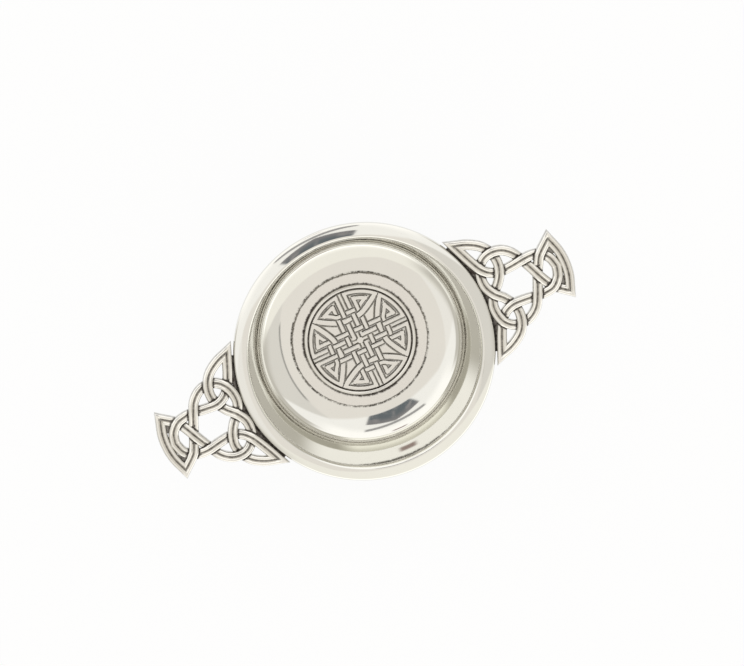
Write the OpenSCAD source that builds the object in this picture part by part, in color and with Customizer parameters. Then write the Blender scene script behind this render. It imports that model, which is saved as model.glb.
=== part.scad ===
// Quaich: a shallow two-lugged drinking bowl in pewter.
// A spun bowl on a spread foot, two pierced knotwork lugs soldered to the rim,
// and a knotwork badge soldered to the floor of the bowl.
// Millimetres. The origin is the centre of the foot's base, the lugs lie along X.

/* [Bowl] */
// radius of the mouth, at the crease where the wall meets the lip
crease_r = 40; // [36:0.2:48]
// depth from the crease down to the floor
bowl_depth = 27.5; // [22:0.5:32]
// thickness of the spun wall
wall_t = 1.5; // [1:0.1:2.5]
// slope of the wall, in degrees
wall_slope = 82.5; // [77:0.5:84]
// radius of the turn between the wall and the dished floor
turn_r = 5.5; // [4:0.5:8]
// radius of the floor's dish
dish_r = 30; // [22:1:40]
// slope of the dish where it starts, round the badge, in degrees
dish_slope = 8; // [4:0.5:11]

/* [Lip] */
// width of the lip, from the crease to the rim
lip_w = 5.4; // [4.6:0.1:6]
// slope of the lip at the crease, in degrees
lip_slope = 10; // [6:1:16]
// radius of the lip's convex top
lip_arc = 25; // [18:0.5:30]
// radius of the lip's rounded outer edge
lip_edge = 1.2; // [0.9:0.1:1.4]
// radius of the rounding at the crease
crease_edge = 0.9; // [0.6:0.1:1.2]
// radius of the flare that leads from the crease into the wall
flare_r = 3; // [2:0.5:5]
// slope at which the flare starts, in degrees
flare_slope = 50; // [40:5:65]

/* [Foot] */
// height of the foot under the bowl
foot_h = 4; // [3:0.5:8]
// outer radius of the foot where it meets the bowl
foot_top_r = 20.9; // [18:0.1:23]
// outer radius of the foot on the table
foot_base_r = 25.8; // [24:0.2:30]
// thickness of the foot at its top
foot_t = 1.6; // [1.2:0.1:2.4]
// width of the flat that the foot stands on
base_w = 2; // [1.4:0.1:3]

/* [Lugs] */
// width of the lug's interlaced band
band_w = 3.5; // [2.8:0.1:3.6]
// thickness of a lug at its highest crossing
lug_t = 3.2; // [2.6:0.1:4]
// how far the band rises and dips at a crossing
weave = 0.45; // [0.2:0.05:0.6]
// depth of the groove along the middle of the band
groove_d = 0.7; // [0.3:0.1:1]
// half angle of the saddle along the rim, in degrees
saddle_half = 23; // [20:1:25]
// width of the saddle, out from the rim
saddle_w = 1; // [0.9:0.1:2]
// how far the band's back stands above the saddle's
lug_lift = 0.3; // [0.3:0.1:1.2]
// how far the knot is set in toward the bowl
lug_in = 0.5; // [0.2:0.1:0.6]
// how far a lug tilts up outward, in degrees
lug_tilt = 4; // [0:0.5:8]

/* [Badge] */
// radius of the badge
badge_r = 24.4; // [22:0.1:26]
// thickness of the badge's border
badge_t = 0.7; // [0.5:0.1:1.2]
// radius of the raised ring round the pattern
ring_r = 19.6; // [19.2:0.1:20.5]
// width of the raised ring
ring_w = 1.2; // [0.8:0.1:1.6]

/* [Solder] */
// thickness of the solder between the rim and a lug
seam_t = 0.3; // [0.1:0.1:0.6]
// size of the solder bead round the foot
foot_bead_w = 0.9; // [0.6:0.1:1.2]
// size of the solder bead round the badge
badge_bead_w = 0.45; // [0.3:0.05:0.6]

/* [Hidden] */

pewter = [0.78, 0.76, 0.72];
solder = [0.55, 0.54, 0.52];

rim_r = crease_r + lip_w;
seat_r = rim_r + seam_t;
// the flat floor takes the badge and the bead round it
floor_margin = 0.15;
floor_r = badge_r + badge_bead_w + floor_margin;
floor_z = foot_h + wall_t;
crease_z = floor_z + bowl_depth;
mouth = [crease_r, crease_z];
wall_way = [cos(wall_slope), sin(wall_slope)];
// the dish starts where the flat floor under the badge ends
dish_c = [floor_r - dish_r * sin(dish_slope), floor_z + dish_r * cos(dish_slope)];
// the turn touches the dish and the wall from inside the bowl
turn_from = mouth + turn_r * [-wall_way[1], wall_way[0]];
turn_away = turn_from - dish_c;
turn_along = turn_away * wall_way;
turn_c = turn_from - wall_way
    * (turn_along + sqrt(pow(turn_along, 2) - turn_away * turn_away + pow(dish_r - turn_r, 2)));
turn_end = atan2(turn_c[1] - dish_c[1], turn_c[0] - dish_c[0]);
// the dish's underside runs into the flat that stands on the foot
under_start = acos((dish_c[1] - foot_h) / (dish_r + wall_t)) - 90;
// centre of the lip's convex top, and of its rounded edge, which touches it inside
lip_c = [crease_r - lip_arc * sin(lip_slope), crease_z - lip_arc * cos(lip_slope)];
edge_x = rim_r - lip_edge;
edge_c = [edge_x, lip_c[1] + sqrt(pow(lip_arc - lip_edge, 2) - pow(edge_x - lip_c[0], 2))];
edge_end = atan2(edge_c[1] - lip_c[1], edge_c[0] - lip_c[0]);
// the crease's rounding touches the lip's top, and the flare touches the rounding and the wall
flare_up = (flare_r - crease_edge) * [-sin(flare_slope), cos(flare_slope)];
crease_from = mouth + flare_r * [wall_way[1], -wall_way[0]] + flare_up;
crease_away = crease_from - lip_c;
crease_along = crease_away * wall_way;
crease_c = crease_from + wall_way
    * (sqrt(pow(crease_along, 2) - crease_away * crease_away + pow(lip_arc - crease_edge, 2)) - crease_along);
crease_end = atan2(crease_c[1] - lip_c[1], crease_c[0] - lip_c[0]);
flare_c = crease_c - flare_up;
crease_steps = 6;
flare_steps = 4;
edge_steps = 8;
lip_steps = 8;
turn_steps = 8;
dish_steps = 10;
lip_edge_arc = arc(edge_c, lip_edge, -90, edge_end, edge_steps);
lip_under = edge_c[1] - lip_edge;
outer_x = crease_r + wall_t / sin(wall_slope) - (crease_z - lip_under) / tan(wall_slope);
base_lip = 0.8;

// a lug's saddle starts level with the underside of the lip
lug_z = lip_under;
lug_r = rim_r - lug_in;
saddle_h = 1.75 * lip_edge;
saddle_lap = 0.5;
saddle_steps = 26;
web_t = 1.1;
span_steps = 2;
end_steps = 1;
// height that clears the seat through a lug
seat_h = 4 * lug_t;
// half the band's top, outward from the groove: offset over half the width, and drop
crest = 0.5;
lobe = [[0, groove_d], [0.22, 0.2], [crest, 0], [0.8, 0.2], [1, 0.8]];

field_dip = 0.2;
ring_steps = 8;
round_fn = 180;

// Half a lug's band, as [out from the rim, across, over or under]. The first list runs from
// the fan's corner to the rim corner, the second from there to the middle of the inner loop.
fan_to_rim = [
    [28.3, 10, 0], [23.7, 6.2, 1], [22, 3.4, 0], [20.4, 0, -1], [18.9, -3.4, 0], [17.3, -6.9, 1],
    [15.3, -10.4, 0.2], [12.2, -12.9, -0.5], [8.6, -13.6, -1], [5.4, -12.6, 0], [3, -9.9, 1],
    [2.1, -6.6, 0.4], [2.3, -3.2, -0.5], [4, 0, -1], [6.7, 2.9, 0], [8.6, 6.1, 1], [9.4, 9.6, 0],
    [8.6, 13.6, -1], [6.3, 16.9, -0.2], [2.4, 19.4, 0], [-2, 20.9, 0]
];
rim_to_loop = [
    [-2, 20.9, 0], [-0.2, 16.5, 0.2], [1.4, 12.9, 0.8], [3, 9.9, 1], [5.4, 7.4, 0], [8.6, 6.1, -1],
    [12.9, 6.3, 0], [17.3, 6.9, 1], [20.6, 7, 0], [23.7, 6.2, -1], [26.3, 3.6, -0.2], [27.4, 0, 0]
];
fan_arc = [[28.3, 10, 0], [30, 4.8, 0], [30.5, 0, 0], [30, -4.8, 0], [28.3, -10, 0]];
// corner of the fan filled between the band, the fan and the inner loop
web_shape = [[28.6, 10], [23.7, 6.2], [26.3, 3.6], [29.6, 4.8]];

// height of a lug, from the saddle's back to the highest crest of the tilted band
lug_h = lug_lift + max([for (q = concat(fan_to_rim, fan_arc))
    (lug_t - weave + weave * q[2]) * cos(lug_tilt) + (q[0] - lug_in + crest * band_w / 2) * sin(lug_tilt)]);

// points on an arc
function arc(c, r, a0, a1, n) =
    [for (k = [0:n]) let (a = a0 + (a1 - a0) * k / n) c + r * [cos(a), sin(a)]];
// the same after its first point, to carry on an outline
function onward(c, r, a0, a1, n) = slice(arc(c, r, a0, a1, n), 1, n);

// one point of a smooth curve between the second and third of four control points
function spline(a, b, c, d, t) =
    0.5 * (2 * b + (c - a) * t + (2 * a - 5 * b + 4 * c - d) * t * t + (3 * b - a - 3 * c + d) * t * t * t);

// smooth curve through control points; the end spans take e steps, the others n
function curve(p, n, e) =
    let (m = len(p) - 1)
    concat(
        [for (i = [0:m - 1])
            let (
                before = i == 0 ? 2 * p[0] - p[1] : p[i - 1],
                after = i == m - 1 ? 2 * p[m] - p[m - 1] : p[i + 2],
                s = i == 0 || i == m - 1 ? e : n
            )
            for (k = [0:s - 1]) spline(before, p[i], p[i + 1], after, k / s)],
        [p[m]]
    );

function left_of(d) = [-d[1], d[0]] / norm([d[0], d[1]]);
function normals(s) =
    let (m = len(s) - 1)
    [for (i = [0:m]) left_of(s[min(i + 1, m)] - s[max(i - 1, 0)])];
function mitre(a, b) = (a + b) / (1 + a * b);
function with_ends(n, first, last) =
    [for (i = [0:len(n) - 1]) i == 0 ? first : i == len(n) - 1 ? last : n[i]];
function slice(s, i0, i1) = [for (i = [i0:i1]) s[i]];
function reversed(s) = [for (i = [len(s) - 1:-1:0]) s[i]];
// the other half of a knot: mirrored, and what was over is under
function mirrored(s) = [for (q = s) [q[0], -q[1], -q[2]]];
function moved_out(s, d) = [for (q = s) [q[0] + d, q[1], q[2]]];
function first_of(s) = s[0];
function last_of(s) = s[len(s) - 1];

// band on a flat back; its top is given as [offset, drop] pairs from left to right
module band(s, n, half_w, tops, top, rise) {
    last = len(s) - 1;
    m = len(tops) + 2;
    ring = concat([[tops[0][0], -1]], tops, [[last_of(tops)[0], -1]]);
    pts = [for (i = [0:last]) for (q = ring)
        let (across = n[i] * q[0] * half_w)
        [s[i][0] + across[0], s[i][1] + across[1], q[1] < 0 ? 0 : top + rise * s[i][2] - q[1]]];
    sides = [for (i = [0:last - 1]) for (j = [0:m - 1])
        let (a = i * m + j, b = i * m + (j + 1) % m)
        for (f = [[a, b, b + m], [a, b + m, a + m]]) f];
    caps = [[for (j = [m - 1:-1:0]) j], [for (j = [0:m - 1]) last * m + j]];
    polyhedron(pts, concat(sides, caps));
}

module lug_bands() {
    fan_rim = curve(moved_out(fan_to_rim, lug_r), span_steps, end_steps);
    rim_fan = reversed(mirrored(fan_rim));
    half_loop = curve(moved_out(rim_to_loop, lug_r), span_steps, end_steps);
    loop = concat(half_loop, slice(reversed(mirrored(half_loop)), 1, len(half_loop) - 1));
    fan = curve(moved_out(reversed(fan_arc), lug_r), span_steps, end_steps);
    na = normals(rim_fan);
    nf = normals(fan);
    nb = normals(fan_rim);
    nl = normals(loop);
    corner_c = mitre(last_of(na), first_of(nf));
    corner_d = mitre(last_of(nf), first_of(nb));
    corner_b = mitre(last_of(nb), first_of(nl));
    corner_a = mitre(last_of(nl), first_of(na));
    tops = concat([for (i = [len(lobe) - 1:-1:1]) [-lobe[i][0], lobe[i][1]]], lobe);
    half_w = band_w / 2;
    top = lug_t - weave;
    band(rim_fan, with_ends(na, corner_a, corner_c), half_w, tops, top, weave);
    band(fan, with_ends(nf, corner_c, corner_d), half_w, tops, top, weave);
    band(fan_rim, with_ends(nb, corner_d, corner_b), half_w, tops, top, weave);
    band(loop, with_ends(nl, corner_b, corner_a), half_w, tops, top, weave);
}

// the saddle of a lug, a strip bent to the rim
module saddle() {
    linear_extrude(saddle_h)
        polygon(concat(
            arc([0, 0], seat_r + saddle_w, -saddle_half, saddle_half, saddle_steps),
            arc([0, 0], seat_r - saddle_lap, saddle_half, -saddle_half, saddle_steps)
        ));
}

// the knot of a lug, lifted at the rim and tilted up outward from it
module knot() {
    translate([rim_r, 0, lug_lift])
        rotate([0, -lug_tilt, 0])
            translate([-rim_r, 0, 0]) {
                lug_bands();
                for (side = [1, -1])
                    linear_extrude(web_t)
                        polygon([for (q = web_shape) [lug_r + q[0], side * q[1]]]);
            }
}

module lug() {
    color(pewter)
        translate([0, 0, lug_z])
            resize([0, 0, lug_h])
                difference() {
                    union() {
                        knot();
                        saddle();
                    }
                    cylinder(h = seat_h, r = seat_r, center = true, $fn = round_fn);
                }
}

module lug_left() {
    lug();
}

module lug_right() {
    rotate([0, 0, 180]) lug();
}

// solder between the rim's rounded edge and a lug's saddle
module seam() {
    face = slice(lip_edge_arc, 2, edge_steps - 1);
    color(solder)
        rotate([0, 0, -saddle_half])
            rotate_extrude(angle = 2 * saddle_half, $fn = round_fn)
                polygon(concat(face, [[seat_r, last_of(face)[1]], [seat_r, first_of(face)[1]]]));
}

module seam_left() {
    seam();
}

module seam_right() {
    rotate([0, 0, 180]) seam();
}

module bowl() {
    color(pewter)
        rotate_extrude($fn = round_fn)
            polygon(concat(
                [[0, foot_h]],
                arc(dish_c, dish_r + wall_t, under_start, turn_end, dish_steps),
                onward(turn_c, turn_r + wall_t, turn_end, wall_slope - 90, turn_steps),
                [[outer_x, lip_under]],
                lip_edge_arc,
                onward(lip_c, lip_arc, edge_end, crease_end, lip_steps),
                onward(crease_c, crease_edge, crease_end, flare_slope + 90, crease_steps),
                onward(flare_c, flare_r, flare_slope + 90, wall_slope + 90, flare_steps),
                arc(turn_c, turn_r, wall_slope - 90, turn_end, turn_steps),
                onward(dish_c, dish_r, turn_end, dish_slope - 90, dish_steps),
                [[0, floor_z]]
            ));
}

module foot() {
    color(pewter)
        rotate_extrude($fn = round_fn)
            polygon([
                [foot_base_r - base_w, 0], [foot_base_r, 0], [foot_base_r, base_lip],
                [foot_top_r, foot_h], [foot_top_r - foot_t, foot_h]
            ]);
}

// solder in the corner between the foot and the bowl's underside
module foot_bead() {
    run = [foot_base_r - foot_top_r, base_lip - foot_h];
    color(solder)
        rotate_extrude($fn = round_fn)
            polygon([
                [foot_top_r, foot_h],
                [foot_top_r, foot_h] + foot_bead_w * run / norm(run),
                [foot_top_r + foot_bead_w, foot_h]
            ]);
}

module badge() {
    field_z = badge_t - field_dip;
    color(pewter)
        translate([0, 0, floor_z])
            rotate_extrude($fn = round_fn)
                polygon(concat(
                    [[0, 0], [badge_r, 0], [badge_r, badge_t]],
                    arc([ring_r, badge_t], ring_w / 2, 0, 180, ring_steps),
                    [[ring_r - ring_w / 2, field_z], [0, field_z]]
                ));
}

// solder round the edge of the badge
module badge_bead() {
    color(solder)
        rotate_extrude($fn = round_fn)
            polygon([
                [badge_r, floor_z], [badge_r + badge_bead_w, floor_z], [badge_r, floor_z + badge_bead_w]
            ]);
}

bowl();
foot();
lug_left();
lug_right();
badge();
seam_left();
seam_right();
foot_bead();
badge_bead();
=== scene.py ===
import math

import bmesh
import bpy
import numpy as np
from mathutils import Matrix, Vector


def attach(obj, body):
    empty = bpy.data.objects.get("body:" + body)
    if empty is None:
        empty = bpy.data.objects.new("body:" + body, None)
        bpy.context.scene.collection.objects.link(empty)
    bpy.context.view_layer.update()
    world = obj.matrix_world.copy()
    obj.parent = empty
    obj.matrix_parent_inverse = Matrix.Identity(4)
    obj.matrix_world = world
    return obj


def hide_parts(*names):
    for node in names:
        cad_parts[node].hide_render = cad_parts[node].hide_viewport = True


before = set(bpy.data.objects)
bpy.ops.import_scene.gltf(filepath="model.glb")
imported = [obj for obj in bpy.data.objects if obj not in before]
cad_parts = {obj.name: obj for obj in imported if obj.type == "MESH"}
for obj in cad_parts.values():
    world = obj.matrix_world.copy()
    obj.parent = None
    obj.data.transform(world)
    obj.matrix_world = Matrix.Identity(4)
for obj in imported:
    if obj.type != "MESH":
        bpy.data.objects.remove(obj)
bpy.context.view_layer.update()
MM = 0.001
RIGHT_ANGLE = math.pi / 2

# Sizes of the part, in millimetres and radians.
CREASE_R = 40.0
BOWL_DEPTH = 27.5
WALL_T = 1.5
WALL_SLOPE = math.radians(82.5)
TURN_R = 5.5
DISH_R = 30.0
DISH_SLOPE = math.radians(8)
LIP_W = 5.4
LIP_SLOPE = math.radians(10)
LIP_ARC = 25.0
LIP_EDGE = 1.2
CREASE_EDGE = 0.9
FLARE_R = 3.0
FLARE_SLOPE = math.radians(50)
FOOT_H = 4.0
FOOT_TOP_R = 20.9
FOOT_BASE_R = 25.8
FOOT_T = 1.6
BASE_W = 2.0
BASE_LIP = 0.8
BAND_W = 3.5
LUG_T = 3.2
WEAVE = 0.45
GROOVE_D = 0.7
SHOULDER_D = 0.9
LUG_LIFT = 0.3
LUG_IN = 0.5
LUG_TILT = math.radians(4)
WEB_T = 1.1
SADDLE_HALF = math.radians(23)
SADDLE_W = 1.0
BADGE_R = 24.4
BADGE_T = 0.7
RING_R = 19.6
RING_W = 1.2
SEAM_T = 0.3
FOOT_BEAD = 0.9
BADGE_BEAD = 0.45
FLOOR_MARGIN = 0.15

RIM_R = CREASE_R + LIP_W
SEAT_R = RIM_R + SEAM_T
FLOOR_R = BADGE_R + BADGE_BEAD + FLOOR_MARGIN
FLOOR_Z = FOOT_H + WALL_T
BADGE_Z = FLOOR_Z + BADGE_T
FIELD_R = RING_R - RING_W / 2
CREASE_Z = FLOOR_Z + BOWL_DEPTH
LIP_C = (CREASE_R - LIP_ARC * math.sin(LIP_SLOPE), CREASE_Z - LIP_ARC * math.cos(LIP_SLOPE))
EDGE_X = RIM_R - LIP_EDGE
EDGE_C = (EDGE_X, LIP_C[1] + math.sqrt((LIP_ARC - LIP_EDGE) ** 2 - (EDGE_X - LIP_C[0]) ** 2))
EDGE_END = math.atan2(EDGE_C[1] - LIP_C[1], EDGE_C[0] - LIP_C[0])
LIP_UNDER = EDGE_C[1] - LIP_EDGE
OUTER_X = CREASE_R + WALL_T / math.sin(WALL_SLOPE) - (CREASE_Z - LIP_UNDER) / math.tan(WALL_SLOPE)
LUG_Z = LIP_UNDER
SADDLE_H = 1.75 * LIP_EDGE

# Half a lug's band: out from the rim, across, over (1) or under (-1).
FAN_TO_RIM = [
    (28.3, 10, 0), (23.7, 6.2, 1), (22, 3.4, 0), (20.4, 0, -1), (18.9, -3.4, 0), (17.3, -6.9, 1),
    (15.3, -10.4, 0.2), (12.2, -12.9, -0.5), (8.6, -13.6, -1), (5.4, -12.6, 0), (3, -9.9, 1),
    (2.1, -6.6, 0.4), (2.3, -3.2, -0.5), (4, 0, -1), (6.7, 2.9, 0), (8.6, 6.1, 1), (9.4, 9.6, 0),
    (8.6, 13.6, -1), (6.3, 16.9, -0.2), (2.4, 19.4, 0), (-2, 20.9, 0),
]
RIM_TO_LOOP = [
    (-2, 20.9, 0), (-0.2, 16.5, 0.2), (1.4, 12.9, 0.8), (3, 9.9, 1), (5.4, 7.4, 0), (8.6, 6.1, -1),
    (12.9, 6.3, 0), (17.3, 6.9, 1), (20.6, 7, 0), (23.7, 6.2, -1), (26.3, 3.6, -0.2), (27.4, 0, 0),
]
FAN_ARC = [(28.3, 10, 0), (30, 4.8, 0), (30.5, 0, 0), (30, -4.8, 0), (28.3, -10, 0)]
WEB_SHAPE = [(28.6, 10), (23.7, 6.2), (26.3, 3.6), (29.6, 4.8)]

# Half an arm of the badge, in runs between sharp corners: along, across, over or under.
# L1 and L2 are how far its straight strands lie from the middle, L3 and L4 where bars cross them.
L1, L2, L3, L4 = 1.66, 4.08, 8.5, 11.0
PANEL_R = 17.85
PANEL_FROM, PANEL_TO = math.asin(L1 / PANEL_R), math.radians(42.5)
PANEL_POINTS = 7
BADGE_RUNS = [
    [(L1, L1, 0), (2.9, L1, 0.6), (L2, L1, 1), (6.3, L1, 0), (L3, L1, -1), (9.8, L1, 0), (L4, L1, 1),
     (13, L1, 0.2), (15.4, L1, 0), (17.7, L1, 0)],
    [(PANEL_R * math.cos(a), PANEL_R * math.sin(a), 0)
     for a in np.linspace(PANEL_FROM, PANEL_TO, PANEL_POINTS)],
    [(13.2, 12, 0), (12.1, 10.4, 0), (11, 8.6, 0), (9.9, 6.6, -0.4), (8.8, L2, -1), (L3, L1, 1),
     (L3, 0, 0)],
    [(0, L2, 0), (L1, L2, 1), (2.9, L2, 0), (L2, L2, -1), (6.3, L2, 0), (8.8, L2, 1), (L4, L2, -1),
     (12.8, L2, 0), (14.9, L2, 0)],
    [(14.9, L2, 0), (14.25, 6.1, 0), (13.3, 8.1, 0)],
    [(13.3, 8.1, 0), (12.2, 6, 0.3), (L4, L2, 1), (L4, L1, -1), (L4, 0, 0)],
]
STRAND_W = 1.35
FLANK_W = 1.8
RUN_WIDTHS = [STRAND_W, STRAND_W, FLANK_W, STRAND_W, STRAND_W, STRAND_W]

# Heights of the badge's relief over its border, and widths of what is cut into it.
STRAND_TOP = 0.25
STRAND_RISE = 0.1
CROWN_DROP = 0.16
ISLAND_TOP = 0.15
CUT_FLOOR = -0.3
CUT_FLAT = 0.12
CUT_W = 0.55
ISLAND_CUT = 0.85
STRAND_TAPER = 0.4
SAMPLE_REACH = 0.55
RING_RISE = 0.7

# Levels run from -1 where a strand passes under to 1 where it passes over. NO_LEVEL is lower than any
# strand, and FAR_OFF is the distance given where nothing lies near.
SAME_LEVEL = 0.3
OVER_LEVEL = 0.5
NO_LEVEL = -9.0
FAR_OFF = 2.0

# Finer forms than the solids have.
UNDER_STEP = 0.06
RIDGE_AT = 0.5
SHOULDER_POWER = 2.2
SADDLE_TIP = math.radians(3)
SADDLE_SHIFT = math.radians(1.5)
SEAM_LOW, SEAM_HIGH = math.radians(-54), math.radians(37)
FOOT_ROUND = 0.15
BEVEL_IN, BEVEL_UP, BEVEL_DOWN = 0.12, 0.05, 0.1
FILLET_RUN, FILLET_OUT, FILLET_FALL = 0.5, 0.3, 0.35
BADGE_FILLET = (0.2, 0.22)
BEAD_WAVE = 0.25

# Steps of the meshes. Loops beside an edge and across a flat keep the shading even.
TURN_SEGS = 360
BOWL_SEGS = 720
BADGE_SEGS = 640
FIELD_ROWS = 124
RING_STEPS = 12
STRAND_STEPS = 8
LUG_STEPS = 10
BAND_POINTS = 25
SWEEP_STEPS = 40
SEAM_STEPS = 8
FLAT_R = 12.0
FLOOR_LOOP = 0.1
UNDER_LOOP = 0.4
OUTER_SHARES = (0.05, 0.3, 0.6, 0.97)
INNER_SHARES = (0.02, 0.1, 0.4, 0.6, 0.9, 0.98)
BORDER_LOOPS = (21.4, 21.8, 23, 24, BADGE_R - 0.34)
CHUNK = 1500
MERGE = 1e-7

# Patina and painted shade, from 0 for bright metal to 1 for the darkest, and where they begin and end.
CUT_DARK = 0.74
CUT_DARK_FROM = 0.1
STRAND_EDGE_SHADE = 0.3
STRAND_EDGE_FROM = 0.6
RIM_LINE_FROM, RIM_LINE = 0.25, 0.75
RING_DARK = [0.5, 0.15] + [0.0] * (RING_STEPS - 3) + [0.15, 0.5]
BADGE_SIDE_DARK = 0.15
HEAVY_AT = math.radians(118)
HEAVY_FROM, HEAVY_TO = 0.35, 0.9
STAIN_W = 0.4
STAIN_LEAST = 0.2
FLOOR_SLACK = 0.01
FOOT_SOLDER_DARK = 0.4
GROOVE_DARK = 0.95
GROOVE_HALF = 0.17
BAND_EDGE_SHADE = 0.5
BAND_EDGE_FROM = 0.72
SHADOW_FROM, SHADOW_TO = 0.15, 0.75
SHADOW_REACH = 0.3
SIDE_DARK = 0.15
WEB_DARK = 0.8
SADDLE_SHADE_AND_PATINA = 0.95
RAGGED_WAVES = (3, 7, 13, 29, 47, 83, 131, 197, 263)
RAGGED_DAMP = 7
STAIN_SEED, LINE_SEED, BEAD_SEED = 0.7, 1.3, 2.1

# Marks in the metal.
BLOTCH_SCALE, BLOTCH_DETAIL = 55.0, 4.0
FINE_SCALE, FINE_DETAIL = 900.0, 3.0
SPIN_SCALE, SPIN_DETAIL = 700.0, 2.0
RAG = 0.5
PATINA_FROM, PATINA_TO = 0.12, 1.0
TONE_SPREAD = 0.03
ROUGH_SPREAD = 0.2
BUMP_DISTANCE = 0.0001


# Curves and meshes.
def arc(centre, radius, first, last, steps):
    angles = [first + (last - first) * k / steps for k in range(steps + 1)]
    return [(centre[0] + radius * math.cos(a), centre[1] + radius * math.sin(a)) for a in angles]


def circle(segs):
    """Angles round a circle."""
    return np.arange(segs) * 2 * math.pi / segs


def curve(points, steps):
    """Smooth curve through control points, with steps samples in each span."""
    p = np.array(points, float)
    out = []
    for i in range(len(p) - 1):
        a = 2 * p[0] - p[1] if i == 0 else p[i - 1]
        b, c = p[i], p[i + 1]
        d = 2 * p[-1] - p[-2] if i == len(p) - 2 else p[i + 2]
        for k in range(steps):
            t = k / steps
            cubic = (3 * b - a - 3 * c + d) * t ** 3
            out.append(0.5 * (2 * b + (c - a) * t + (2 * a - 5 * b + 4 * c - d) * t ** 2 + cubic))
    out.append(p[-1])
    return np.array(out)


def mirrored(points):
    """The other half of a knot, where what was over is under."""
    return points * np.array([1.0, -1.0, -1.0])


def tangents(points):
    d = np.gradient(points[:, :2], axis=0)
    return d / np.linalg.norm(d, axis=1)[:, None]


def left_of(ways):
    return np.stack([-ways[:, 1], ways[:, 0]], 1)


def smooth(start, end, x):
    """Soft step from 0 at the start to 1 at the end."""
    t = np.clip((x - start) / (end - start), 0.0, 1.0)
    return t * t * (3 - 2 * t)


def ragged(angles, seed):
    """Uneven value round a circle, mostly from 0 to 1."""
    return 0.5 + sum(np.sin(k * angles + seed * k) for k in RAGGED_WAVES) / RAGGED_DAMP


def make_object(name, verts, faces, dark, material, replaces, sharp):
    """Mesh object in metres with a dark attribute, riding on the only body.

    An edge whose faces meet at more than sharp degrees is not smoothed.
    """
    mesh = bpy.data.meshes.new(name)
    mesh.from_pydata((np.asarray(verts, float) * MM).tolist(), [], faces)
    attr = mesh.attributes.new("dark", "FLOAT", "POINT")
    attr.data.foreach_set("value", np.asarray(dark, np.float32))
    bm = bmesh.new()
    bm.from_mesh(mesh)
    bmesh.ops.remove_doubles(bm, verts=bm.verts, dist=MERGE)
    bmesh.ops.dissolve_degenerate(bm, edges=bm.edges, dist=MERGE)
    bmesh.ops.recalc_face_normals(bm, faces=bm.faces)
    bm.to_mesh(mesh)
    bm.free()
    mesh.shade_smooth()
    mesh.set_sharp_from_angle(angle=math.radians(sharp))
    obj = bpy.data.objects.new(name, mesh)
    bpy.context.scene.collection.objects.link(obj)
    mesh.materials.append(material)
    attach(obj, "root")
    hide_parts(replaces)


def turned(rows, closed=True):
    """Faces of a turned surface; each row is a ring of vertex numbers, or one number on the axis."""
    faces = []
    pairs = list(zip(rows, rows[1:] + rows[:1])) if closed else list(zip(rows, rows[1:]))
    for lo, hi in pairs:
        n = max(len(lo), len(hi))
        if n == 1:
            continue
        for k in range(n):
            q = [lo[k % len(lo)], lo[(k + 1) % len(lo)], hi[(k + 1) % len(hi)], hi[k % len(hi)]]
            faces.append([v for j, v in enumerate(q) if v not in q[:j]])
    return faces


def lathe(profile, segs=TURN_SEGS, shifts=None):
    """Closed turned solid of (radius, height); shifts moves a numbered point outward at each angle."""
    shifts = shifts or {}
    verts, rows = [], []
    for i, (r, z) in enumerate(profile):
        if r == 0:
            rows.append([len(verts)])
            verts.append((0, 0, z))
            continue
        rows.append(list(range(len(verts), len(verts) + segs)))
        shift = shifts.get(i, np.zeros(segs))
        for k in range(segs):
            a = 2 * math.pi * k / segs
            verts.append(((r + shift[k]) * math.cos(a), (r + shift[k]) * math.sin(a), z))
    return verts, turned(rows)


def tube_faces(rings, points):
    """Faces of a closed band: rings one after another, each with its points in a circle."""
    faces = []
    for i in range(rings):
        this, after = i * points, (i + 1) % rings * points
        for j in range(points):
            k = (j + 1) % points
            faces.append([this + j, this + k, after + k, after + j])
    return faces


def along_rim(section, turn=0.0):
    """A closed section swept round the axis, over the stretch where a lug meets the rim."""
    half = SADDLE_HALF + SADDLE_TIP
    start = turn + SADDLE_SHIFT - half
    m = len(section)
    verts = []
    for k in range(SWEEP_STEPS + 1):
        a = start + 2 * half * k / SWEEP_STEPS
        verts += [(r * math.cos(a), r * math.sin(a), z) for r, z in section]
    # the last stretch, from the end back to the start, is left out
    faces = tube_faces(SWEEP_STEPS + 1, m)[:-m]
    faces.append(list(range(m))[::-1])
    faces.append([SWEEP_STEPS * m + j for j in range(m)])
    return verts, faces


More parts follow.
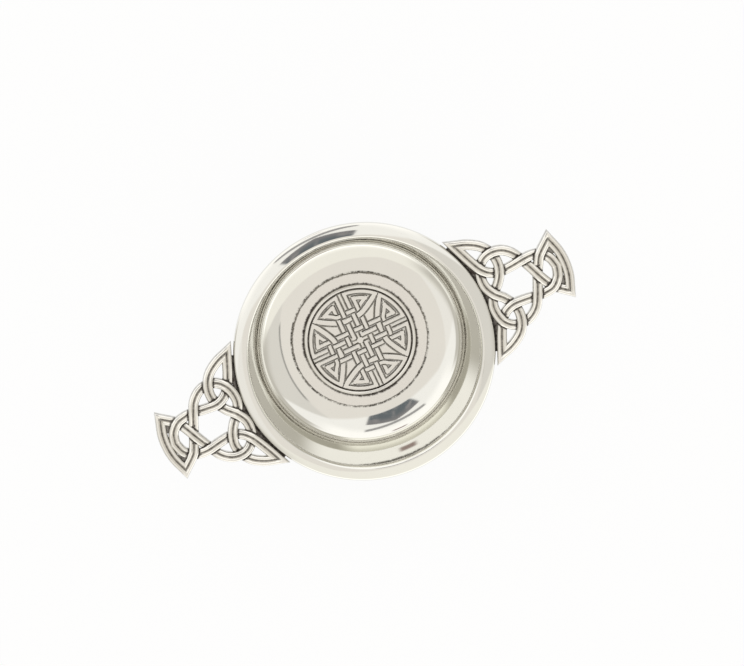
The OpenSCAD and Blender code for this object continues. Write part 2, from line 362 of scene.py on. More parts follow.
# Materials.
class Nodes:
    """Adds shader nodes to a tree. A value is a number, a colour or another node's output."""

    def __init__(self, tree):
        self.tree = tree

    def add(self, kind):
        return self.tree.nodes.new(kind)

    def put(self, socket, value):
        if isinstance(value, bpy.types.NodeSocket):
            self.tree.links.new(value, socket)
        elif isinstance(value, tuple):
            socket.default_value = (*value, 1)
        else:
            socket.default_value = value

    def calc(self, operation, *values):
        node = self.add("ShaderNodeMath")
        node.operation = operation
        for socket, value in zip(node.inputs, values):
            self.put(socket, value)
        return node.outputs["Value"]

    def product(self, *factors):
        result = factors[0]
        for factor in factors[1:]:
            result = self.calc("MULTIPLY", result, factor)
        return result

    def ranged(self, value, lo, hi, out_lo=0.0, out_hi=1.0, kind="SMOOTHSTEP"):
        node = self.add("ShaderNodeMapRange")
        node.interpolation_type = kind
        sockets = ("Value", "From Min", "From Max", "To Min", "To Max")
        for socket, setting in zip(sockets, (value, lo, hi, out_lo, out_hi)):
            self.put(node.inputs[socket], setting)
        return node.outputs["Result"]

    def past(self, value, edge, soft):
        """One where the value is over an edge, with a soft step there."""
        return self.ranged(value, edge - soft, edge + soft)

    def short_of(self, value, edge, soft):
        return self.ranged(value, edge - soft, edge + soft, 1.0, 0.0)

    def mix(self, kind, under, over, factor):
        """What is under, with what is over it where the factor is one."""
        node = self.add("ShaderNodeMix")
        node.data_type = kind
        for socket, value in (("Factor", factor), ("A", under), ("B", over)):
            self.put(node.inputs[socket], value)
        return node.outputs["Result"]

    def covered(self, under, over, factor):
        return self.mix("RGBA", under, over, factor)

    def noise(self, vector, scale, detail):
        node = self.add("ShaderNodeTexNoise")
        for socket, value in (("Vector", vector), ("Scale", scale), ("Detail", detail)):
            self.put(node.inputs[socket], value)
        return node.outputs["Fac"]

    def split(self, vector):
        node = self.add("ShaderNodeSeparateXYZ")
        self.put(node.inputs["Vector"], vector)
        return [node.outputs[axis] for axis in "XYZ"]

    def joined(self, x, y):
        node = self.add("ShaderNodeCombineXYZ")
        self.put(node.inputs["X"], x)
        self.put(node.inputs["Y"], y)
        return node.outputs["Vector"]


def new_material(name):
    mat = bpy.data.materials.new(name)
    mat.use_nodes = True
    return mat, Nodes(mat.node_tree), mat.node_tree.nodes["Principled BSDF"]


def spin_marks(nodes, place):
    """Fine rings left by spinning and polishing: noise over distance from the axis and height."""
    x, y, z = nodes.split(place)
    length = nodes.add("ShaderNodeVectorMath")
    length.operation = "LENGTH"
    nodes.put(length.inputs[0], nodes.joined(x, y))
    return nodes.noise(nodes.joined(length.outputs["Value"], z), SPIN_SCALE, SPIN_DETAIL)


def pewter(name, base, patina_and_shade, rough, rough_dark, relief, spun=False):
    """Pewter with patina and painted shade where the dark attribute says, faint blotches and fine marks.
    """
    mat, nodes, bsdf = new_material(name)
    place = nodes.add("ShaderNodeTexCoord").outputs["Object"]
    blotch = nodes.noise(place, BLOTCH_SCALE, BLOTCH_DETAIL)
    fine = nodes.noise(place, FINE_SCALE, FINE_DETAIL)
    attribute = nodes.add("ShaderNodeAttribute")
    attribute.attribute_name = "dark"
    # fine noise makes the edge of the patina and painted shade ragged
    rag = nodes.calc("MULTIPLY_ADD", fine, RAG, -RAG / 2)
    dark = nodes.calc("ADD", attribute.outputs["Fac"], rag)
    dark = nodes.ranged(dark, PATINA_FROM, PATINA_TO, kind="LINEAR")
    deep = tuple(c * (1 - TONE_SPREAD) for c in base)
    pale = tuple(c * (1 + TONE_SPREAD) for c in base)
    bare_rough = nodes.ranged(
        blotch, 0.0, 1.0, rough * (1 - ROUGH_SPREAD), rough * (1 + ROUGH_SPREAD), "LINEAR"
    )
    bump = nodes.add("ShaderNodeBump")
    nodes.put(bump.inputs["Strength"], relief)
    nodes.put(bump.inputs["Distance"], BUMP_DISTANCE)
    nodes.put(bump.inputs["Height"], spin_marks(nodes, place) if spun else fine)
    nodes.put(bsdf.inputs["Metallic"], 1.0)
    nodes.put(bsdf.inputs["Base Color"], nodes.covered(nodes.covered(deep, pale, blotch), patina_and_shade, dark))
    nodes.put(bsdf.inputs["Roughness"], nodes.mix("FLOAT", bare_rough, rough_dark, dark))
    nodes.put(bsdf.inputs["Normal"], bump.outputs["Normal"])
    return mat


# Bowl.
def at_reach(start, way, centre, reach, end):
    """Upper (1) or lower (-1) place on the line from start along way, at a reach from a centre."""
    away = start - centre
    along = away @ way
    return start + way * (end * math.sqrt(along ** 2 - away @ away + reach ** 2) - along)


def between(p, q, shares):
    return [(p[0] + (q[0] - p[0]) * f, p[1] + (q[1] - p[1]) * f) for f in shares]


def direction(p, q):
    return math.atan2(q[1] - p[1], q[0] - p[0])


def bowl_profile():
    """Section of the shell: underside, outside, lip, inside and floor."""
    mouth = np.array([CREASE_R, CREASE_Z])
    wall_way = np.array([math.cos(WALL_SLOPE), math.sin(WALL_SLOPE)])
    into_metal = np.array([wall_way[1], -wall_way[0]])
    dish_up = DISH_R * np.array([-math.sin(DISH_SLOPE), math.cos(DISH_SLOPE)])
    dish_c = np.array([FLOOR_R, FLOOR_Z]) + dish_up
    turn_c = at_reach(mouth - TURN_R * into_metal, wall_way, dish_c, DISH_R - TURN_R, -1)
    flare_up = (FLARE_R - CREASE_EDGE) * np.array([-math.sin(FLARE_SLOPE), math.cos(FLARE_SLOPE)])
    flare_line = mouth + FLARE_R * into_metal + flare_up
    crease_c = at_reach(flare_line, wall_way, np.array(LIP_C), LIP_ARC - CREASE_EDGE, 1)
    flare_c = crease_c - flare_up
    under_start = math.acos((dish_c[1] - FOOT_H) / (DISH_R + WALL_T)) - RIGHT_ANGLE
    turn_end = direction(dish_c, turn_c)
    crease_start = direction(LIP_C, crease_c)
    outside = (
        arc(dish_c, DISH_R + WALL_T, under_start, turn_end, steps=32)
        + arc(turn_c, TURN_R + WALL_T, turn_end, WALL_SLOPE - RIGHT_ANGLE, steps=24)[1:]
    )
    lip = (
        arc(EDGE_C, LIP_EDGE, -RIGHT_ANGLE, EDGE_END, steps=24)
        + arc(LIP_C, LIP_ARC, EDGE_END, crease_start, steps=32)[1:]
        + arc(crease_c, CREASE_EDGE, crease_start, FLARE_SLOPE + RIGHT_ANGLE, steps=20)[1:]
        + arc(flare_c, FLARE_R, FLARE_SLOPE + RIGHT_ANGLE, WALL_SLOPE + RIGHT_ANGLE, steps=20)[1:]
    )
    inside = (
        arc(turn_c, TURN_R, WALL_SLOPE - RIGHT_ANGLE, turn_end, steps=48)
        + arc(dish_c, DISH_R, turn_end, DISH_SLOPE - RIGHT_ANGLE, steps=64)[1:]
    )
    return (
        [(0, FOOT_H), (FLAT_R, FOOT_H)] + outside
        + between(outside[-1], (OUTER_X, LIP_UNDER), OUTER_SHARES)
        + [(OUTER_X, LIP_UNDER), (OUTER_X + UNDER_LOOP, LIP_UNDER)] + lip
        + between(lip[-1], inside[0], INNER_SHARES) + inside
        + [(FLOOR_R - FLOOR_LOOP, FLOOR_Z), (FLAT_R, FLOOR_Z), (0, FLOOR_Z)]
    )


def make_bowl(metal):
    verts, faces = lathe(bowl_profile(), BOWL_SEGS)
    # patina in the corner round the badge's solder
    x, y, z = np.array(verts).T
    from_axis = np.hypot(x, y)
    in_corner = (z > FLOOR_Z - FLOOR_SLACK) & (from_axis < FLOOR_R + STAIN_W)
    fade = 1 - smooth(FLOOR_R, FLOOR_R + STAIN_W, from_axis)
    stain = STAIN_LEAST + (1 - STAIN_LEAST) * ragged(np.arctan2(y, x), STAIN_SEED)
    dark = np.where(in_corner, stain * fade, 0.0).clip(0, 1)
    make_object("bowl_spun", verts, faces, dark, metal, "bowl", sharp=40)


# Foot and the solder round it.
def make_foot(metal, solder):
    inner_r = FOOT_BASE_R - BASE_W
    profile = [
        (inner_r, 0), (inner_r + FOOT_ROUND, 0), (FOOT_BASE_R - FOOT_ROUND, 0), (FOOT_BASE_R, FOOT_ROUND),
        (FOOT_BASE_R, BASE_LIP - BEVEL_DOWN), (FOOT_BASE_R - BEVEL_IN, BASE_LIP + BEVEL_UP),
        (FOOT_TOP_R, FOOT_H), (FOOT_TOP_R - FOOT_T, FOOT_H),
    ]
    verts, faces = lathe(profile)
    bright = np.zeros(len(verts))
    make_object("foot_spun", verts, faces, bright, metal, "foot", sharp=30)
    slope = np.array([FOOT_BASE_R - FOOT_TOP_R, BASE_LIP - FOOT_H])
    run, fall = slope / np.linalg.norm(slope) * FOOT_BEAD
    hollow = (FOOT_TOP_R + FILLET_RUN * run + FILLET_OUT * FOOT_BEAD, FOOT_H + FILLET_FALL * fall)
    bead = [
        (FOOT_TOP_R, FOOT_H), (FOOT_TOP_R + run, FOOT_H + fall), hollow, (FOOT_TOP_R + FOOT_BEAD, FOOT_H),
    ]
    verts, faces = lathe(bead)
    dark = np.full(len(verts), FOOT_SOLDER_DARK)
    make_object("foot_solder", verts, faces, dark, solder, "foot_bead", sharp=60)


# Badge: interlaced strands cut into a disc, inside a raised ring and a plain border.
def strand_samples():
    """Points along every strand: place, direction, over or under, reach along it and half its width."""
    place, way, level, reach, half = [], [], [], [], []
    for points, width in zip(BADGE_RUNS, RUN_WIDTHS):
        s = curve(points, STRAND_STEPS)
        spacing = np.linalg.norm(np.gradient(s[:, :2], axis=0), axis=1)
        t = tangents(s)
        # each run goes on a little past its ends, so that corners close
        before = np.append(s[0, :2] - t[0] * STRAND_W / 4, 0)
        after = np.append(s[-1, :2] + t[-1] * STRAND_W / 4, 0)
        s = np.concatenate([[before], s, [after]])
        t = np.concatenate([t[:1], t, t[-1:]])
        spacing = np.concatenate([[STRAND_W / 2], spacing, [STRAND_W / 2]])
        # a wide strand narrows at its ends
        taper = smooth(0, STRAND_TAPER, 1 - np.abs(np.linspace(-1, 1, len(s))))
        for flip in (1, -1):
            for a in circle(4):
                turn = np.array([[math.cos(a), -math.sin(a)], [math.sin(a), math.cos(a)]])
                place.append((s[:, :2] * [1, flip]) @ turn.T)
                way.append((t * [1, flip]) @ turn.T)
                level.append(s[:, 2] * flip)
                reach.append(SAMPLE_REACH * spacing)
                half.append((STRAND_W + (width - STRAND_W) * taper) / 2)
    return [np.concatenate(q) for q in (place, way, level, reach, half)]


def relief(points, ring_gap):
    """Height over the badge's border, and patina with painted shade on the strands' edges, at points
    inside the ring.
    """
    place, way, level, reach, half = strand_samples()
    side = left_of(way)
    height, dark = np.empty(len(points)), np.empty(len(points))
    for first in range(0, len(points), CHUNK):
        part = slice(first, first + CHUNK)
        d = points[part, None, :] - place[None]
        across = np.abs(np.einsum("ijk,jk->ij", d, side))
        near = np.abs(np.einsum("ijk,jk->ij", d, way)) < reach
        on = near & (across < half)
        top = np.max(np.where(on, level, NO_LEVEL), axis=1)
        lies_on = top > NO_LEVEL
        same = on & (level > top[:, None] - SAME_LEVEL)
        middle = np.min(np.where(same, across / half, 1.0), axis=1)
        over = (level > top[:, None] + OVER_LEVEL) | ~lies_on[:, None]
        cutting = near & (across >= half) & over
        gap = np.min(np.where(cutting, across - half, FAR_OFF), axis=1)
        gap = np.minimum(gap, ring_gap[part])
        crown = STRAND_TOP + STRAND_RISE * top - CROWN_DROP * middle ** 3
        surface = np.where(lies_on, crown, ISLAND_TOP)
        cut = np.where(lies_on, CUT_W, ISLAND_CUT)
        height[part] = CUT_FLOOR + (surface - CUT_FLOOR) * smooth(CUT_FLAT, cut, gap)
        # painted shade, darker towards each strand's rounded edges
        edge = np.where(lies_on, STRAND_EDGE_SHADE * smooth(STRAND_EDGE_FROM, 1.0, middle), 0.0)
        groove = CUT_DARK * (1 - smooth(CUT_DARK_FROM, cut + CUT_DARK_FROM, gap))
        rim_line = 1 - smooth(RIM_LINE_FROM, RIM_LINE, ring_gap[part])
        dark[part] = np.max([groove, edge, rim_line], axis=0)
    return height, dark


def heavy_sides(angles):
    """One on the two opposite sides where the solder and the patina are heavy."""
    return smooth(HEAVY_FROM, HEAVY_TO, np.abs(np.cos(angles - HEAVY_AT)))


def make_badge(metal):
    angles = circle(BADGE_SEGS)
    quarter = angles[:BADGE_SEGS // 4]
    radii = FIELD_R * np.arange(1, FIELD_ROWS + 1) / FIELD_ROWS
    grid = np.stack([np.outer(radii, np.cos(quarter)), np.outer(radii, np.sin(quarter))], -1)
    points = np.concatenate([[[0.0, 0.0]], grid.reshape(-1, 2)])
    ring_gap = np.concatenate([[FIELD_R], np.repeat(FIELD_R - radii, len(quarter))])
    height, dark = relief(points, ring_gap)
    # rings from the middle out: radius, height over the border, patina and painted shade
    field = zip(radii, height[1:].reshape(FIELD_ROWS, -1), dark[1:].reshape(FIELD_ROWS, -1))
    rings = [(r, np.tile(z, 4), np.tile(dk, 4)) for r, z, dk in field]
    raised_ring = arc((RING_R, 0), RING_W / 2, math.pi, 0, RING_STEPS)
    rings += [(r, RING_RISE * z, dk) for (r, z), dk in zip(raised_ring, RING_DARK)]
    line = ragged(angles, LINE_SEED)
    heavy = heavy_sides(angles)
    ring_out = RING_R + RING_W / 2
    rings += [
        (ring_out + 0.2, -0.1, 0.75 + 0.2 * heavy + 0.2 * line),
        (ring_out + 0.5, -0.08, 0.45 + 0.35 * heavy + 0.5 * line),
        (ring_out + 0.8, -0.02, 0.5 * heavy + 0.9 * line - 0.45),
    ]
    rings += [(r, 0, 0) for r in BORDER_LOOPS]
    rings += [
        (BADGE_R - 0.2, 0, 0.15 * heavy + 0.5 * line),
        (BADGE_R, -0.03, 0.35 + 0.6 * line),
        (BADGE_R, -0.1, BADGE_SIDE_DARK),
        (BADGE_R, -BADGE_T, BADGE_SIDE_DARK),
    ]
    verts, shade, rows = [(0, 0, BADGE_Z + height[0])], [dark[0]], [[0]]
    for r, z, dk in rings:
        rows.append(list(range(len(verts), len(verts) + BADGE_SEGS)))
        verts += zip(r * np.cos(angles), r * np.sin(angles), np.broadcast_to(BADGE_Z + z, BADGE_SEGS))
        shade += np.broadcast_to(np.clip(dk, 0, 1), BADGE_SEGS).tolist()
    rows.append([len(verts)])
    verts.append((0, 0, FLOOR_Z))
    shade.append(0)
    faces = turned(rows, closed=False)
    make_object("badge_cast", verts, faces, shade, metal, "badge", sharp=60)


def make_badge_solder(solder):
    """Bead in the corner round the badge, uneven along its outer edge."""
    angles = circle(TURN_SEGS)
    uneven = ragged(angles, BEAD_SEED)
    profile = [
        (BADGE_R, FLOOR_Z), (BADGE_R + BADGE_BEAD, FLOOR_Z),
        (BADGE_R + BADGE_FILLET[0], FLOOR_Z + BADGE_FILLET[1]), (BADGE_R, FLOOR_Z + BADGE_BEAD),
    ]
    verts, faces = lathe(profile, shifts={1: -BEAD_WAVE * uneven})
    # patina at the four points of the section, at each angle
    dark = np.concatenate([
        np.full(TURN_SEGS, 0.2), 0.3 + 0.3 * heavy_sides(angles) + 0.4 * uneven,
        0.3 * uneven, 0.1 + 0.2 * uneven,
    ]).clip(0, 1)
    make_object("badge_solder", verts, faces, dark, solder, "badge_bead", sharp=60)


# Lugs.
def mitre(a, b):
    return (a + b) / (1 + a @ b)


def knot_stations(pieces):
    """Round a closed band: middle and level, across, way, and the corners that bound each stretch."""
    stations = []
    ways = [tangents(s) for s in pieces]
    normals = [left_of(t) for t in ways]
    for i, s in enumerate(pieces):
        begin = mitre(normals[i - 1][-1], normals[i][0])
        finish = mitre(normals[i][-1], normals[(i + 1) % len(pieces)][0])
        corners = ((s[0, :2], begin), (s[-1, :2], finish))
        for k in range(len(s) - 1):
            across = begin if k == 0 else normals[i][k]
            stations.append((s[k], across, ways[i][k], corners))
    return stations


def clipped(p, way, corners):
    """Point of a band kept on its own side of the mitres at its two ends."""
    corner_reach, least_slant = 3 * BAND_W, 0.05
    for (corner, across), sign in zip(corners, (-1, 1)):
        out = sign * np.array([across[1], -across[0]]) / np.linalg.norm(across)
        over = (p - corner) @ out
        along = way @ out
        if over > 0 and np.linalg.norm(p - corner) < corner_reach and abs(along) > least_slant:
            p = p - way * over / along
    return p


def raised(points):
    """A lug's points lifted at the rim and tilted up outward from it."""
    x, y, z = np.array(points, float).T
    out = x - RIM_R
    up = z * math.cos(LUG_TILT) + out * math.sin(LUG_TILT) + LUG_LIFT
    return list(zip(RIM_R + out * math.cos(LUG_TILT) - z * math.sin(LUG_TILT), y, up))


def band_section():
    """Across a lug's band, from -1 to 1: place, drop from the top of its two ridges, and patina in its
    groove with painted shade on its flanks.
    """
    u = np.linspace(-1, 1, BAND_POINTS)
    off_ridge = np.abs(np.abs(u) - RIDGE_AT) / RIDGE_AT
    groove = GROOVE_D * (0.5 - 0.5 * np.cos(math.pi * off_ridge))
    shoulder = SHOULDER_D * (1 - np.sqrt(np.clip(1 - off_ridge ** SHOULDER_POWER, 0, 1)))
    drop = np.where(np.abs(u) < RIDGE_AT, groove, shoulder)
    # patina in the groove between the ridges, and painted shade darker towards the band's edges
    dark = GROOVE_DARK * np.exp(-((u / GROOVE_HALF) ** 2))
    return u, drop, dark + BAND_EDGE_SHADE * smooth(BAND_EDGE_FROM, 1.0, np.abs(u))


def lug_band():
    """The closed, interlaced band, with painted shadow beside every band that passes over it."""
    out = np.array([RIM_R - LUG_IN, 0.0, 0.0])
    fan_rim = curve(FAN_TO_RIM, LUG_STEPS) + out
    half_loop = curve(RIM_TO_LOOP, LUG_STEPS) + out
    loop = np.concatenate([half_loop, mirrored(half_loop)[::-1][1:]])
    fan = curve(FAN_ARC[::-1], LUG_STEPS) + out
    stations = knot_stations([mirrored(fan_rim)[::-1], fan, fan_rim, loop])
    u, drop, own_patina_and_shade = band_section()
    middle = np.array([s[:2] for s, _, _, _ in stations])
    level = np.array([s[2] for s, _, _, _ in stations])
    ways = np.array([way for _, _, way, _ in stations])
    sides = left_of(ways)
    verts, shade = [], []
    for s, across, way, corners in stations:
        ring = np.array([clipped(s[:2] + across * q * BAND_W / 2, way, corners) for q in u])
        d = ring[:, None, :] - middle[None]
        beside = np.abs(np.einsum("ijk,jk->ij", d, sides)) - BAND_W / 2
        abreast = np.abs(np.einsum("ijk,jk->ij", d, ways)) < SHADOW_REACH
        # painted shadow where this band passes under another
        shading = abreast & (beside > -SHADOW_REACH) & (level > s[2] + OVER_LEVEL)
        shadow = 1 - smooth(SHADOW_FROM, SHADOW_TO, np.min(np.where(shading, beside, FAR_OFF), axis=1))
        dark = np.clip(np.maximum(own_patina_and_shade, shadow), 0, 1)
        top = LUG_T - WEAVE + WEAVE * s[2] - drop
        # crossing bands keep a step between their undersides
        under = UNDER_STEP * (1 + s[2]) / 2
        verts.append((*ring[0], under))
        verts += [(*p, z) for p, z in zip(ring, top)]
        verts.append((*ring[-1], under))
        shade += [SIDE_DARK, *dark, SIDE_DARK]
    return verts, tube_faces(len(stations), len(u) + 2), shade


def lug_mesh():
    """A lug: its band, a web in each corner of the fan, and the saddle that seats it on the rim."""
    verts, faces, shade = lug_band()
    for side in (1, -1):
        shape = [(RIM_R - LUG_IN + x, side * y) for x, y in WEB_SHAPE][::side]
        n, base = len(shape), len(verts)
        verts += [(x, y, z) for z in (0, WEB_T) for x, y in shape]
        shade += [WEB_DARK] * 2 * n
        faces.append([base + k for k in reversed(range(n))])
        faces.append([base + n + k for k in range(n)])
        for k in range(n):
            after = (k + 1) % n
            faces.append([base + k, base + after, base + n + after, base + n + k])
    verts = raised(verts)
    section = [(SEAT_R, 0), (SEAT_R + SADDLE_W, 0), (SEAT_R + SADDLE_W, SADDLE_H), (SEAT_R, SADDLE_H)]
    saddle, saddle_faces = along_rim(section)
    faces += [[i + len(verts) for i in face] for face in saddle_faces]
    verts += saddle
    # the saddle is darkened with patina and painted shade, for the groove between rim and lug
    shade += [SADDLE_SHADE_AND_PATINA] * len(saddle)
    return np.array(verts), faces, shade


def make_lugs(metal):
    verts, faces, dark = lug_mesh()
    for name, node, turn in (("lug_cast_left", "lug_left", 1), ("lug_cast_right", "lug_right", -1)):
        placed = verts * [turn, turn, 1] + [0, 0, LUG_Z]
        make_object(name, placed, faces, dark, metal, node, sharp=50)


def make_seams(solder):
    """Solder between the rim and the lugs."""
    face = arc(EDGE_C, LIP_EDGE, SEAM_LOW, SEAM_HIGH, SEAM_STEPS)
    section = face + [(SEAT_R, face[-1][1]), (SEAT_R, face[0][1])]
    ends = (("seam_solder_left", "seam_left", 0.0), ("seam_solder_right", "seam_right", math.pi))
    for name, node, turn in ends:
        verts, faces = along_rim(section, turn)
        # the seams are darkened with patina and painted shade, for the groove between rim and lug
        dark = np.full(len(verts), SADDLE_SHADE_AND_PATINA)
        make_object(name, verts, faces, dark, solder, node, sharp=60)


# Camera, at the photograph's place.
PX_W = 744
FOCAL_PX = 1459.93
SENSOR = 36.0
DISTANCE = 0.5
AZ, EL, ROLL = math.radians(-1.43), math.radians(78.6), math.radians(156.36)
TARGET = Vector((-5.06, -5.82, 32.5)) * MM


def set_camera():
    back = Vector((math.sin(AZ) * math.cos(EL), -math.cos(AZ) * math.cos(EL), math.sin(EL)))
    right = (-back).cross(Vector((0, 0, 1))).normalized()
    upward = right.cross(-back)
    cam_x = right * math.cos(ROLL) + upward * math.sin(ROLL)
    cam_y = -right * math.sin(ROLL) + upward * math.cos(ROLL)
    data = bpy.data.cameras.new("camera")
    data.sensor_fit = "HORIZONTAL"
    data.sensor_width = SENSOR
    data.lens = SENSOR * FOCAL_PX / PX_W
    camera = bpy.data.objects.new("camera", data)
    bpy.context.scene.collection.objects.link(camera)
    place = Matrix((cam_x, cam_y, back)).transposed().to_4x4()
    place.translation = TARGET + back * DISTANCE
    camera.matrix_world = place
    bpy.context.scene.camera = camera


# Floor: white to the eye and in reflections, with the object's shadow left on it.
FLOOR_HALF = 4.0
FLOOR_WHITE = 0.9
FLOOR_COLOUR = (0.95, 0.95, 0.95)
FLOOR_ROUGH = 0.9


def make_floor():
    mesh = bpy.data.meshes.new("floor")
    corners = [(-1, -1), (1, -1), (1, 1), (-1, 1)]
    mesh.from_pydata([(x * FLOOR_HALF, y * FLOOR_HALF, 0) for x, y in corners], [], [(0, 1, 2, 3)])
    floor_obj = bpy.data.objects.new("floor", mesh)
    bpy.context.scene.collection.objects.link(floor_obj)
    mat, nodes, bsdf = new_material("floor")
    nodes.put(bsdf.inputs["Base Color"], FLOOR_COLOUR)
    nodes.put(bsdf.inputs["Roughness"], FLOOR_ROUGH)
    nodes.put(bsdf.inputs["Specular IOR Level"], 0.0)
    rays = nodes.add("ShaderNodeLightPath").outputs
    seen = nodes.calc("MAXIMUM", rays["Is Camera Ray"], rays["Is Glossy Ray"])
    seen = nodes.calc("MAXIMUM", seen, rays["Is Transmission Ray"])
    white = nodes.add("ShaderNodeEmission")
    mix = nodes.add("ShaderNodeMixShader")
    nodes.put(mix.inputs["Fac"], nodes.calc("MULTIPLY", seen, FLOOR_WHITE))
    nodes.put(mix.inputs[1], bsdf.outputs["BSDF"])
    nodes.put(mix.inputs[2], white.outputs["Emission"])
    nodes.put(mat.node_tree.nodes["Material Output"].inputs["Surface"], mix.outputs["Shader"])
    mesh.materials.append(mat)


# World: a light tent. Its flat roof is darker than its walls and has a seam along its left edge. On the
# near side are a dark opening with a gap beyond it, the wall that the lamp lights, and a figure.
ROOF = (0.91, 0.872, 0.82)
LEFT_WALL = (0.81, 0.785, 0.74)
RIGHT_WALL = (0.98, 0.955, 0.915)
FAR_WALL = (1.02, 0.995, 0.925)
FAR_LOW = (1.45, 1.43, 1.37)
NEAR_WALL = (1.06, 1.045, 1.015)
SIDE_LOW = (0.64, 0.615, 0.56)
LAMP = (1.22, 1.2, 1.17)
OPEN_DARK = (0.15, 0.17, 0.185)
OPEN_PALE = (0.36, 0.34, 0.34)
OPEN_LOW = (0.26, 0.25, 0.255)
SEAM = (0.4, 0.39, 0.37)
FIGURE = (0.4, 0.31, 0.29)
# Edges on the roof's plane, as shares of its height: to the right of the part, and toward the camera.
HORIZON = 0.04
ROOF_LEFT, ROOF_RIGHT = -0.475, 0.66
ROOF_FAR, ROOF_NEAR = -0.9, 0.25
ROOF_SKEW = 0.25
NEAR_SKEW, NEAR_SKEW_FROM = 0.5, 0.475
FAR_SKEW, FAR_SKEW_FROM = -0.8, 0.5
ROOF_EDGE = 0.035
SEAM_HALF = 0.022
SEAM_EDGE = 0.01
SEAM_FAR, SEAM_NEAR = -0.62, 0.0
OPENING_FROM, OPENING_MID, OPENING_TO = 0.245, 0.4, 0.58
OPENING_TAPER = 0.5
OPENING_EDGE = 0.012
GAP_FROM, GAP_TO = 0.595, 0.665
GAP_SHARE = 0.85
CLUTTER_ACROSS, CLUTTER_TOWARD = 16.0, 4.0
CLUTTER_SCALE, CLUTTER_DETAIL = 1.0, 2.0
CLUTTER_RANGE = (0.45, 0.75)
# Angles from straight up, and round from the direction of the camera.
OPENING_HALF = math.radians(28)
LAMP_TILT = (math.radians(31), math.radians(40))
LAMP_SIDE = (math.radians(48), math.radians(72))
SIDE_TILT = (math.radians(45), math.radians(55))
SIDE_NEAR = (math.radians(48), math.radians(68))
SIDE_FAR = (math.radians(120), math.radians(140))
LOW_TILT = (math.radians(56), math.radians(68))
FIGURE_TILT = (math.radians(56), math.radians(64))
FIGURE_HALF = math.radians(5.5)
FIGURE_EDGE = 0.035


def bent(nodes, toward, value, start, slope):
    """Distance toward the camera, made to grow with a value from where it passes a start."""
    over = nodes.calc("MAXIMUM", nodes.calc("SUBTRACT", value, start), 0.0)
    return nodes.calc("MULTIPLY_ADD", over, slope, toward)


def near_dark(nodes, across, toward, beside):
    """What shows in the opening and the gap, and where they are."""
    narrowed = nodes.calc("MULTIPLY_ADD", nodes.calc("ABSOLUTE", across), OPENING_TAPER, toward)
    opening = nodes.product(
        nodes.past(toward, OPENING_FROM, OPENING_EDGE),
        nodes.short_of(narrowed, OPENING_TO, OPENING_EDGE), beside,
    )
    gap = nodes.product(
        nodes.past(toward, GAP_FROM, OPENING_EDGE), nodes.short_of(toward, GAP_TO, OPENING_EDGE),
        beside, GAP_SHARE,
    )
    stretched = nodes.joined(
        nodes.calc("MULTIPLY", across, CLUTTER_ACROSS), nodes.calc("MULTIPLY", toward, CLUTTER_TOWARD)
    )
    clutter = nodes.noise(stretched, CLUTTER_SCALE, CLUTTER_DETAIL)
    room = nodes.covered(OPEN_DARK, OPEN_PALE, nodes.ranged(clutter, *CLUTTER_RANGE))
    room = nodes.covered(room, OPEN_LOW, nodes.ranged(narrowed, OPENING_MID, OPENING_TO))
    return room, nodes.calc("MAXIMUM", opening, gap)


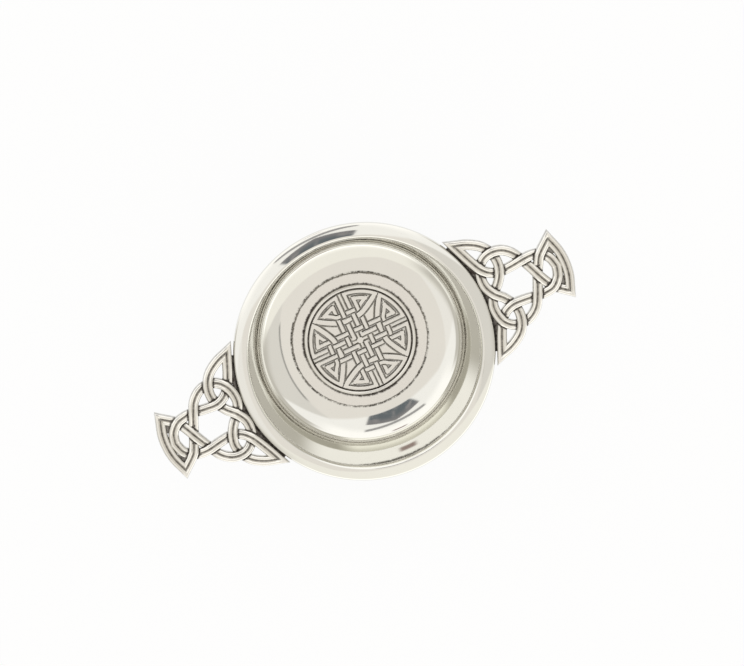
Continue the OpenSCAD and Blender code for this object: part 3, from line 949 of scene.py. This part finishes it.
def make_world():
    world = bpy.data.worlds.new("world")
    bpy.context.scene.world = world
    world.use_nodes = True
    nodes = Nodes(world.node_tree)
    x, y, z = nodes.split(nodes.add("ShaderNodeTexCoord").outputs["Generated"])
    height = nodes.calc("MAXIMUM", z, HORIZON)
    across = nodes.calc("DIVIDE", x, height)
    toward = nodes.calc("MULTIPLY", nodes.calc("DIVIDE", y, height), -1.0)
    tilt = nodes.calc("ARCCOSINE", z)
    around = nodes.calc("ABSOLUTE", nodes.calc("ARCTAN2", across, toward))
    skewed = nodes.calc("MULTIPLY_ADD", toward, ROOF_SKEW, across)
    near = bent(nodes, toward, nodes.calc("ABSOLUTE", across), NEAR_SKEW_FROM, NEAR_SKEW)
    far = bent(nodes, toward, across, FAR_SKEW_FROM, FAR_SKEW)
    sides = nodes.product(
        nodes.ranged(tilt, *SIDE_TILT), nodes.ranged(around, *SIDE_NEAR),
        nodes.ranged(around, *SIDE_FAR, 1.0, 0.0),
    )
    lamp = nodes.product(nodes.ranged(tilt, *LAMP_TILT), nodes.ranged(around, *LAMP_SIDE, 1.0, 0.0))
    figure = nodes.product(
        nodes.past(tilt, FIGURE_TILT[0], FIGURE_EDGE), nodes.short_of(tilt, FIGURE_TILT[1], FIGURE_EDGE),
        nodes.short_of(around, FIGURE_HALF, FIGURE_EDGE),
    )
    seam = nodes.product(
        nodes.past(across, ROOF_LEFT - SEAM_HALF, SEAM_EDGE),
        nodes.short_of(across, ROOF_LEFT + SEAM_HALF, SEAM_EDGE),
        nodes.past(toward, SEAM_FAR, ROOF_EDGE), nodes.short_of(toward, SEAM_NEAR, ROOF_EDGE),
    )
    beside = nodes.short_of(around, OPENING_HALF, 2 * OPENING_EDGE)
    far_wall = nodes.covered(FAR_WALL, FAR_LOW, nodes.ranged(tilt, *LOW_TILT))
    tent = ROOF
    for colour, where in (
        (LEFT_WALL, nodes.short_of(across, ROOF_LEFT, ROOF_EDGE)),
        (RIGHT_WALL, nodes.past(skewed, ROOF_RIGHT, ROOF_EDGE)),
        (NEAR_WALL, nodes.past(near, ROOF_NEAR, ROOF_EDGE)),
        (far_wall, nodes.short_of(far, ROOF_FAR, ROOF_EDGE)),
        (SIDE_LOW, sides),
        (LAMP, lamp),
        (FIGURE, figure),
        (SEAM, seam),
        near_dark(nodes, across, toward, beside),
    ):
        tent = nodes.covered(tent, colour, where)
    nodes.put(world.node_tree.nodes["Background"].inputs["Color"], tent)


polished = pewter(
    "pewter_polished", base=(0.82, 0.815, 0.775), patina_and_shade=(0.05, 0.043, 0.036),
    rough=0.05, rough_dark=0.4, relief=0.01, spun=True,
)
antiqued = pewter(
    "pewter_antiqued", base=(0.81, 0.795, 0.755), patina_and_shade=(0.055, 0.045, 0.039),
    rough=0.15, rough_dark=0.5, relief=0.1,
)
# the antiqued pewter, painted lighter for the light the lugs catch
lug_metal_lit = pewter(
    "pewter_lugs_lit", base=(0.885, 0.87, 0.825), patina_and_shade=(0.05, 0.04, 0.034),
    rough=0.1, rough_dark=0.45, relief=0.1,
)
solder_metal = pewter(
    "solder", base=(0.42, 0.40, 0.37), patina_and_shade=(0.03, 0.026, 0.022),
    rough=0.38, rough_dark=0.6, relief=0.3,
)
make_bowl(polished)
make_foot(polished, solder_metal)
make_badge(antiqued)
make_badge_solder(solder_metal)
make_lugs(lug_metal_lit)
make_seams(solder_metal)
set_camera()
make_floor()
make_world()

# Light goes back and forth many times between the walls of a polished bowl.
BOUNCES = 32
scene = bpy.context.scene
scene.view_settings.view_transform = "Standard"
scene.cycles.max_bounces = BOUNCES
scene.cycles.glossy_bounces = BOUNCES
